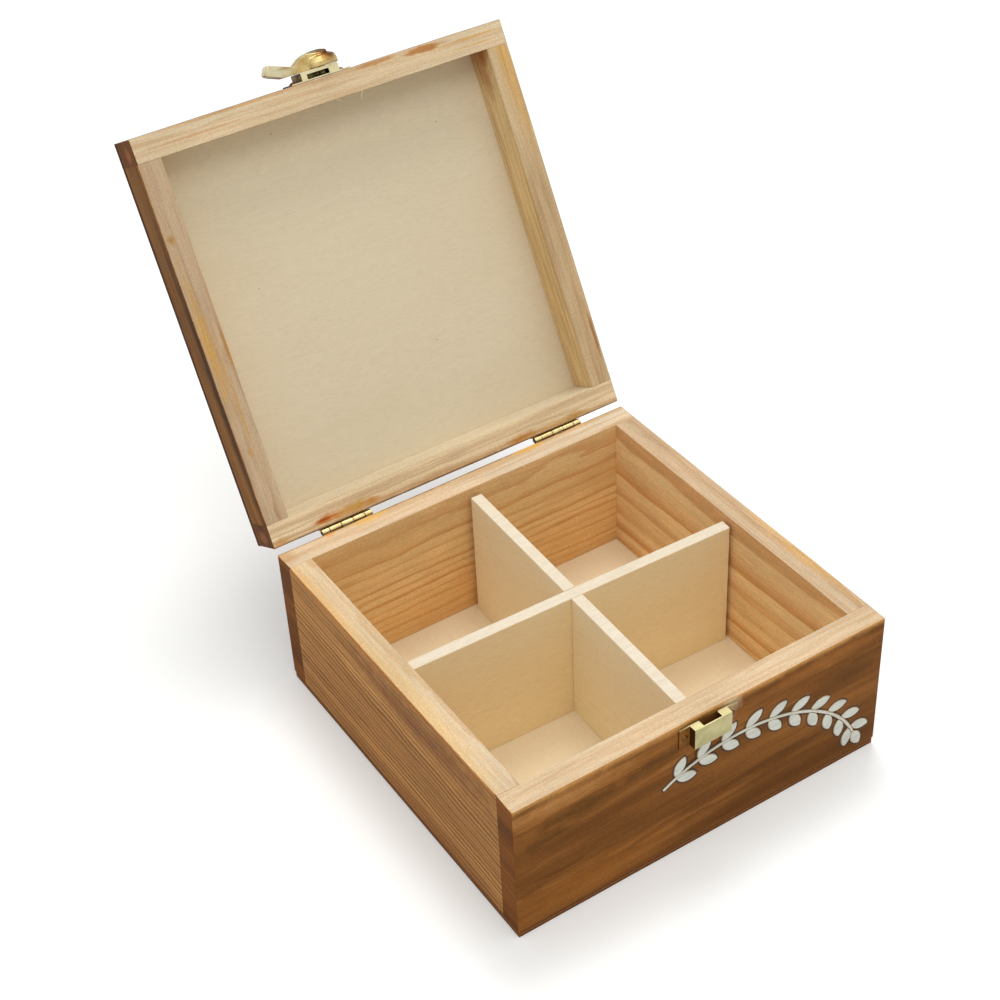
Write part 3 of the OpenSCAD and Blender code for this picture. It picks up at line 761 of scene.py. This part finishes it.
lid_inner_long = pine(
    "lid_inner_long", shade(216, 200, 170), shade(202, 180, 146), 0.003, (0.1, 0.1, 0.0), on_lid=True,
    wander=0.002, band=shade(208, 190, 158), late_share=0.6, fibre_share=0.1
)
lid_arris_gold = pine(
    "lid_arris_gold", shade(206, 154, 96), shade(150, 96, 52), 0.005, (0, 0.03, 0.02), on_lid=True,
    wander=0.006, band=shade(150, 96, 54), band_share=0.7, fibre_share=0.2
)
lid_arris_brown = pine(
    "lid_arris_brown", shade(144, 92, 54), shade(104, 62, 34), 0.005, (0, 0.03, 0.02), on_lid=True,
    wander=0.006, band=shade(110, 66, 38), band_share=0.6, fibre_share=0.2
)
# The outer arris of the lid's front rail is painted pale grey: a painted highlight along the edge.
lid_front_arris_highlight = pine(
    "lid_front_arris_highlight", shade(176, 164, 158), shade(142, 126, 118), 0.005, (0, 0.03, 0.02), on_lid=True,
    wander=0.006, band=shade(150, 134, 124), band_share=0.6, fibre_share=0.2
)
for name, outwards, end_axis, dress, arris in (
    ("lid_front_rail", (0, -1, 0), 0, [lid_front_stain, lid_front_rim, lid_inner_long], lid_front_arris_highlight),
    ("lid_back_rail", (0, 1, 0), 0, [lid_front_stain, lid_back_rim, lid_inner_long], lid_arris_brown),
    ("lid_left_rail", (-1, 0, 0), 1, [lid_side_stain, lid_left_rim, lid_inner], lid_arris_gold),
    ("lid_right_rail", (1, 0, 0), 1, [lid_side_stain, lid_right_rim, lid_inner], lid_arris_gold),
):
    low, high = measured(name, closing)
    rail = board_block(low, high, end_axis)
    ease_edges(rail, lid_arris)
    turn_over(rail)
    paint_board(rail, Vector(outwards), end_axis)
    turn_over(rail)
    materials = dress + [lid_end_stain, arris, lid_arris_brown, lid_arris_brown]
    finished(rail, name + "_wood", materials, "lid", name, lie=opening)


# Splinters
# Three pale slivers that the saw tore from the inner edges and that still hang there: two on the
# lid's front rail, drawn on the closed lid, and one on the back board.
sliver_thick = 0.18 * MM
sliver_wood = pine(
    "sliver_wood", shade(246, 230, 196), shade(228, 202, 158), 0.002, (0.1, 0.02, 0.02), fibre_share=0.1
)
for name, body, lie, root, bend, tip in (
    ("sliver_lid_left", "lid", opening, (2.2, -71.2, 63.35), (3.5, -70.5, 63.25), (4.9, -68.5, 63.3)),
    ("sliver_lid_right", "lid", opening, (15.1, -70.9, 63.35), (12.7, -69.6, 63.25), (13.0, -66.6, 63.4)),
    ("sliver_back", "box", as_it_stands, (25.6, 70.9, 62.65), (25.2, 69.9, 62.75), (25.9, 69.0, 62.7)),
):
    root, bend, tip = [Vector(p) * MM for p in (root, bend, tip)]
    bm = bmesh.new()
    bmesh.ops.create_cone(
        bm, cap_ends=True, segments=6, radius1=sliver_thick, radius2=sliver_thick / 6, depth=1
    )
    slice_along(bm, 2, 0.5, 7)
    for v in bm.verts:
        t = v.co.z + 0.5
        middle = root.lerp(bend, t).lerp(bend.lerp(tip, t), t)
        along = (bend - root).lerp(tip - bend, t).normalized()
        across = Vector((0, 0, 1)).cross(along).normalized()
        v.co = middle + across * v.co.x + across.cross(along) * v.co.y
    finished(bm, name, [sliver_wood], body, None, lie=lie)


# Lid panel
# A sheet of 3 mm plywood glued over the rails: bare and pale inside, stained outside, with its dark
# edge showing round the lid. A few specks of the veneer show inside.
speck_tone = shade(150, 108, 74)
low, high = measured("lid_top_panel", closing)
specks = [
    ((x, y, low.z), (0.00045, 0.00045, 0.002), speck_tone, 1.0)
    for x, y in ((-0.021, -0.0657), (0.0471, -0.0499), (-0.0461, -0.0124), (0.018, 0.031))
]
# The panel is painted paler just under the front rail: painted light over the rail's shade there.
painted_light_under_rail = [((0, -0.0705, low.z), (0.4, 0.026, 0.05), shade(232, 214, 182), 0.55)]
inner_lid_ply = plywood(
    "inner_lid_ply", shade(219, 205, 176), shade(210, 193, 160), on_lid=True, streak_share=0.18,
    pore_share=0.05, patches=painted_light_under_rail + specks
)
outer_lid_ply = plywood(
    "outer_lid_ply", shade(142, 92, 54), shade(102, 62, 34), on_lid=True, streak_share=0.9,
    pore_share=0.15, rough=0.5
)
lid_ply_edge = veneer_edge("lid_ply_edge", shade(92, 56, 34), shade(58, 34, 24), 0.0008, on_lid=True)
panel = board_block(low, high, 0)
ease_edges(panel, lambda p: p.z > high.z - at_face)
paint_panel(panel, 1, 0)
finished(
    panel, "lid_top_panel_ply", [inner_lid_ply, outer_lid_ply, lid_ply_edge], "lid", "lid_top_panel",
    lie=opening
)


# Dividers
# Two thin plywood boards halved together stand loose in the box, a little turned. Their sanded top
# edges are nearly white, and the saw left the ends of the long one rough.
divider_round = 0.25 * MM
ragged_end = 0.35 * MM
ragged_per_m = 900
saw_step = 3.5 * MM
slot_play = 0.05 * MM
end_band = 0.3 * MM


def divider_lie(node, along):
    """The matrix that turns a divider from its own straight drawing to where it stands."""
    low, high = measured(node, as_it_stands)
    middle = (low + high) / 2
    ends = [v.co for v in frame["nodes"][node].data.vertices]
    far = [p for p in ends if p[along] > high[along] - end_band]
    near = [p for p in ends if p[along] < low[along] + end_band]
    span = sum(far, Vector()) / len(far) - sum(near, Vector()) / len(near)
    turn = math.atan2(span.y, span.x)
    return Matrix.Translation((middle.x, middle.y, 0)) @ Matrix.Rotation(turn, 4, "Z")


def divider(node, along, slot_up):
    """A divider board drawn along X: its outline with the halving slot, given its thickness."""
    lie = divider_lie(node, along)
    low, high = measured(node, lie.inverted())
    half_slot = (high.y - low.y) / 2 + slot_play
    half_way = (low.z + high.z) / 2
    rows = int((high.z - low.z) / saw_step)
    bm = bmesh.new()
    right_end = [Vector((high.x, low.y, low.z + (high.z - low.z) * i / rows)) for i in range(rows + 1)]
    left_end = [Vector((low.x, low.y, p.z)) for p in reversed(right_end)]
    if slot_up:
        top = [(half_slot, high.z), (half_slot, half_way), (-half_slot, half_way), (-half_slot, high.z)]
        outline = right_end + [Vector((x, low.y, z)) for x, z in top] + left_end
    else:
        under = [(-half_slot, low.z), (-half_slot, half_way), (half_slot, half_way), (half_slot, low.z)]
        outline = right_end + left_end + [Vector((x, low.y, z)) for x, z in under]
    for p in outline:
        if abs(p.x) > high.x - MM and low.z < p.z < high.z:
            p.x -= math.copysign(abs(noise.noise(p * ragged_per_m)) * ragged_end, p.x)
    face = bm.faces.new([bm.verts.new(p) for p in outline])
    pushed = bmesh.ops.extrude_face_region(bm, geom=[face])["geom"]
    pushed = [v for v in pushed if isinstance(v, bmesh.types.BMVert)]
    bmesh.ops.translate(bm, vec=(0, high.y - low.y, 0), verts=pushed)
    bmesh.ops.recalc_face_normals(bm, faces=bm.faces)
    round_over(bm, sharp_edges(bm, crease), divider_round)
    bm.normal_update()
    for f in bm.faces:
        f.material_index = 1 if f.normal.z > 0.5 else 2 if abs(f.normal.x) > 0.6 else 0
    return bm, lie


divider_ply = plywood(
    "divider_ply", shade(248, 230, 190), shade(240, 218, 172), streak_share=0.25, pore_share=0.06
)
cross_ply = plywood(
    "cross_ply", shade(252, 240, 210), shade(246, 229, 192), turned=True, streak_share=0.25,
    pore_share=0.06
)
divider_edge = plywood(
    "divider_edge", shade(230, 219, 198), shade(216, 200, 172), streak_share=0.4, pore_share=0.08
)
divider_end = veneer_edge("divider_end", shade(222, 180, 124), shade(168, 116, 70), 0.0012)
for node, along, slot_up, ply in (
    ("long_divider", 0, False, divider_ply), ("cross_divider", 1, True, cross_ply)
):
    bm, lie = divider(node, along, slot_up)
    finished(bm, node + "_ply", [ply, divider_edge, divider_end], "divider", node, lie=lie)


# Hinges
# Two pressed brass hinges with five knuckles. Each leaf is nailed flat to the back of the box or
# the lid, and small bent lugs stop the lid where it leans back.
def brassy(name, bright, deep, rough=0.3, tarnish=0.35, scale=160):
    """Thin brass plating with cloudy tarnish and fine scratches."""
    material, tree, surface = new_finish(name)
    where = own_place(tree)
    dull = stretch_range(tree, cloud(tree, where, (scale, scale, scale), 4, 0.6), 0.35, 0.7)
    scratch = cloud(tree, where, (900, 5200, 2600))
    surface.inputs["Metallic"].default_value = 1
    tree.links.new(stretch_range(tree, dull, 0, 1, rough, rough + 0.14), surface.inputs["Roughness"])
    colour = blended(tree, sums(tree, "MULTIPLY", dull, tarnish), bright, deep)
    height = sums(tree, "ADD", sums(tree, "MULTIPLY", dull, 0.6), scratch)
    lay_on(tree, surface, colour, height, strength=0.25, depth=0.04 * MM)
    return material


def base_colour(material):
    """A material's nodes, its surface's colour socket and the colour that it has so far."""
    socket = material.node_tree.nodes["Principled BSDF"].inputs["Base Color"]
    return material.node_tree, socket, socket.links[0].from_socket


def welded(node, flat_sided=True):
    """A copy of a CAD node with its loose triangles joined, and its flat faces made whole."""
    bm = bmesh.new()
    bm.from_mesh(frame["nodes"][node].data)
    bmesh.ops.remove_doubles(bm, verts=bm.verts, dist=weld_reach)
    if flat_sided:
        bmesh.ops.dissolve_limit(bm, angle_limit=radians(1), verts=bm.verts, edges=bm.edges)
    return bm


def clad(nodes, material):
    """Gives a material to CAD nodes whose shape is right as it is."""
    for node in nodes:
        frame["nodes"][node].data.materials.clear()
        frame["nodes"][node].data.materials.append(material)


def pressed_copy(node, body, materials, width, side_from=1):
    """A sheet metal node with rounded edges. Its materials are for its face, its sides and its flanges."""
    bm = welded(node)
    round_over(bm, sharp_edges(bm, press_crease), width)
    bm.normal_update()
    for f in bm.faces:
        sideways = abs(f.normal.x) > side_from
        on_flange = min(abs(v.co.x) for v in f.verts) > flange_from and not sideways
        part = 2 if on_flange else int(sideways)
        f.material_index = part if part < len(materials) else 0
    finished(bm, node + "_brass", materials, body, node)


weld_reach = 0.001 * MM
press_crease = radians(35)
flange_from = 7.95 * MM
hinge_brass = brassy("hinge_brass", shade(226, 206, 152), shade(176, 144, 88), 0.5, 0.6, 420)
# The sideways faces of the leaves, the knuckle ends among them, are dark: partly grime, and partly painted
# shade in the narrow joints between the knuckles.
knuckle_grime_and_shade = brassy("knuckle_grime_and_shade", shade(74, 54, 22), shade(40, 28, 12), 0.5, 0.8, 300)
stained_brass = brassy("stained_brass", shade(120, 92, 46), shade(70, 50, 24), 0.42, 0.8, 300)
pin_steel = brassy("pin_steel", shade(84, 64, 36), shade(46, 34, 20), 0.5, 0.6, 300)

# The knuckles are painted darker where they lie against the rim of the box and of the lid: painted
# shade in the narrow gaps there. Each corner is an angle round the pin and how far the painted shade
# spreads from it, in degrees.
gap_shade_tone = shade(70, 50, 20)
gap_shade_corners = ((178, 17), (70, 25))
tree, socket, colour = base_colour(hinge_brass)
from_pin = vectors(tree, "SUBTRACT", own_place(tree), hinge_line)
pin_axes = put(tree, "ShaderNodeSeparateXYZ", {0: from_pin}).outputs
round_pin = sums(tree, "ARCTAN2", pin_axes[2], pin_axes[1])
# Painted shade: the brass turns dark towards each gap.
for corner, spread in gap_shade_corners:
    aside = sums(tree, "ABSOLUTE", sums(tree, "SUBTRACT", round_pin, radians(corner)))
    in_gap_shade = stretch_range(tree, aside, radians(spread), radians(spread * 0.7))
    colour = blended(tree, in_gap_shade, colour, gap_shade_tone)
tree.links.new(colour, socket)

for body in ("box", "lid"):
    for side in ("left", "right"):
        leaf = f"hinge_{side}_{body}_leaf"
        pressed_copy(leaf, body, [hinge_brass, knuckle_grime_and_shade], 0.19 * MM, 0.3)
clad(("hinge_left_pin", "hinge_right_pin"), pin_steel)


# Nails
# Small brass nails with domed heads hold the hinge leaves, the catch and the latch bracket.
# Those of the catch and the bracket took the brown stain with the wood round them.
nail_brass = brassy("nail_brass", shade(178, 148, 92), shade(96, 68, 36), 0.36, 0.7, 420)
stained_nail = brassy("stained_nail", shade(128, 88, 46), shade(84, 54, 26), 0.5, 0.7, 420)
clad(("hinge_box_nails", "hinge_lid_nails"), nail_brass)
clad(("catch_nails", "latch_nails"), stained_nail)


# Catch
# A box pressed from thin brass-plated sheet and nailed to the front board by two flanges. Two tabs
# folded back over its top leave the gap in which the latch's hook turns.
catch_brass = brassy("catch_brass", shade(190, 182, 136), shade(150, 138, 92), 0.38, 0.5, 140)
pressed_copy("catch_plate", "box", [catch_brass, stained_brass, front_stain], 0.16 * MM, 0.7)


# Latch
# A bracket like the catch on the lid's front rail carries a swing lever on a rivet. The hook behind
# it turns with the lever. The lever is a domed pressing with a tail that stands out for a finger.
latch_brass = brassy("latch_brass", shade(224, 214, 170), shade(168, 150, 102), 0.3, 0.4, 140)
hook_brass = brassy("hook_brass", shade(112, 98, 58), shade(54, 44, 24), 0.42, 0.8, 260)
lever_brass = brassy("lever_brass", shade(204, 182, 126), shade(150, 122, 66), 0.34, 0.8, 150)
pivot = closing @ Vector(next(j for j in frame["joints"] if j["name"] == "latch_turn")["pos_m"])
# The patches on the lever paint the shading of its dome: a dark crest and a dark brown right side are
# painted shade, and a small pale patch on its left is a painted reflection. The tail is given a cream tone
# with a brown middle.
lever_tone_and_shading = (
    ((-0.019, -0.008, 0), (0.013, 0.008, 0.02), shade(206, 200, 170), 0.9),
    ((-0.0145, -0.0072, 0), (0.007, 0.0014, 0.02), shade(160, 122, 74), 0.8),
    ((0.002, -0.0078, 0.0), (0.0095, 0.0048, 0.04), shade(130, 82, 28), 1.0),
    ((0.003, -0.0086, 0.0), (0.0065, 0.0032, 0.04), shade(84, 52, 24), 1.0),
    ((0.0, -0.0102, 0.0), (0.016, 0.0026, 0.04), shade(76, 58, 32), 0.8),
    ((-0.004, -0.006, 0.0), (0.0024, 0.0032, 0.04), shade(230, 208, 146), 0.9)
)
tree, socket, colour = base_colour(lever_brass)
on_lever, _ = grain_place(tree, False, True, (0, 0, 0))
lever_patches = [(pivot + Vector(aside), reach, tone, strength) for aside, reach, tone, strength in lever_tone_and_shading]
tree.links.new(patched(tree, on_lever, colour, lever_patches, 0.6, 0.1), socket)
materials = [latch_brass, stained_brass, lid_front_stain]
pressed_copy("latch_bracket", "lid", materials, 0.14 * MM, 0.7)
pressed_copy("latch_hook", "latch", [hook_brass], 0.1 * MM)
clad(("latch_rivet",), hook_brass)

lever_bm = welded("latch_lever", flat_sided=False)
lever = finished(lever_bm, "latch_lever_brass", [lever_brass], "latch", "latch_lever")
lever.modifiers.clear()
press = lever.modifiers.new("press", "REMESH")
press.mode = "VOXEL"
press.voxel_size = 0.17 * MM
press.use_smooth_shade = True
polish = lever.modifiers.new("polish", "SMOOTH")
polish.factor = 0.5
polish.iterations = 3


# Leaf sprig
# The white decoration on the front: thick matt paint in the shape of almond leaves on a stem. Each
# leaf has a thin margin of bare wood and a dark burnt outline round it.
def painted(name, colour, deep, rough):
    """Matt paint over wood: the grain shows faintly through it."""
    material, tree, surface = new_finish(name)
    grain = figure(tree, own_place(tree), 180, 900, 3)
    grit = cloud(tree, own_place(tree), (3200, 3200, 3200))
    surface.inputs["Roughness"].default_value = rough
    colour = blended(tree, stretch_range(tree, grain, 0.35, 0.75), colour, deep)
    lay_on(tree, surface, colour, sums(tree, "ADD", grit, grain), strength=0.3, depth=0.06 * MM)
    return material


white_paint = painted("white_paint", shade(224, 225, 214), shade(206, 206, 194), 0.6)
bare_margin = painted("bare_margin", shade(214, 180, 132), shade(190, 148, 100), 0.6)
burnt_line = painted("burnt_line", shade(62, 38, 24), shade(36, 22, 16), 0.7)
paint_round = 0.12 * MM

paint = welded("leaf_inlays")
round_over(paint, sharp_edges(paint, crease), paint_round)
finished(paint, "leaf_sprig_paint", [white_paint], "box", "leaf_inlays")


def under_sprig(name, material, grow, lift):
    """The sprig's outline grown by a width, lying just off the board."""
    bm = welded("leaf_inlays")
    moves = {}
    for v in bm.verts:
        out = sum((f.normal for f in v.link_faces if abs(f.normal.y) < 0.5), Vector())
        moves[v] = out.normalized() * grow
    for v, move in moves.items():
        v.co += move
        v.co.y = -half_d if v.co.y > -half_d - 0.1 * MM else -half_d - lift
    finished(bm, name, [material], "box", None)


under_sprig("leaf_sprig_margin", bare_margin, 0.26 * MM, 0.08 * MM)
under_sprig("leaf_sprig_outline", burnt_line, 0.9 * MM, 0.04 * MM)


# Floor and light
# A plain pale floor that runs off to white, under an even pale surround. Two soft panels hang over
# the box: the larger at the front left, and the stronger behind it at the right.
floor_bm = bmesh.new()
bmesh.ops.create_grid(floor_bm, x_segments=1, y_segments=1, size=6)
floor_mesh = bpy.data.meshes.new("floor")
floor_bm.to_mesh(floor_mesh)
floor_bm.free()
floor = bpy.data.objects.new("floor", floor_mesh)
bpy.context.scene.collection.objects.link(floor)


def seen_rays(tree):
    """1 for rays from the camera, off gloss or through glass, and 0 for those that light the box."""
    path = put(tree, "ShaderNodeLightPath").outputs
    seen = sums(tree, "MAXIMUM", path["Is Glossy Ray"], path["Is Transmission Ray"])
    return sums(tree, "MAXIMUM", path["Is Camera Ray"], seen)


near_glow, far_glow = 0.2, 0.54
glow_from, glow_to = 0.45, 1.7
paper, tree, surface = new_finish("paper", shine=0)
surface.inputs["Base Color"].default_value = (0.86, 0.87, 0.85, 1)
surface.inputs["Roughness"].default_value = 0.9
surface.inputs["Emission Color"].default_value = (1, 1, 1, 1)
far = vectors(tree, "LENGTH", own_place(tree))
glow = stretch_range(tree, far, glow_from, glow_to, near_glow, far_glow)
tree.links.new(sums(tree, "MULTIPLY", seen_rays(tree), glow), surface.inputs["Emission Strength"])
floor_mesh.materials.append(paper)

lighting_sky, seen_sky = 0.53, 1
world = bpy.data.worlds.new("surround")
bpy.context.scene.world = world
world.use_nodes = True
tree = world.node_tree
sky = tree.nodes["Background"]
sky.inputs["Color"].default_value = (1, 1, 1, 1)
tree.links.new(stretch_range(tree, seen_rays(tree), 0, 1, lighting_sky, seen_sky), sky.inputs["Strength"])


lit_middle = Vector((0, 0, 0.05))


def panel_light(name, place, size, power):
    """A square soft light that faces the middle of the box."""
    lamp = bpy.data.objects.new(name, bpy.data.lights.new(name, "AREA"))
    lamp.data.size = size
    lamp.data.energy = power
    lamp.location = place
    lamp.rotation_euler = (lit_middle - Vector(place)).to_track_quat("-Z", "Y").to_euler()
    bpy.context.scene.collection.objects.link(lamp)


panel_light("overhead", (-0.12, -0.32, 1.22), size=0.7, power=4.7)
panel_light("back", (0.26, 0.35, 1.3), size=0.5, power=7.6)
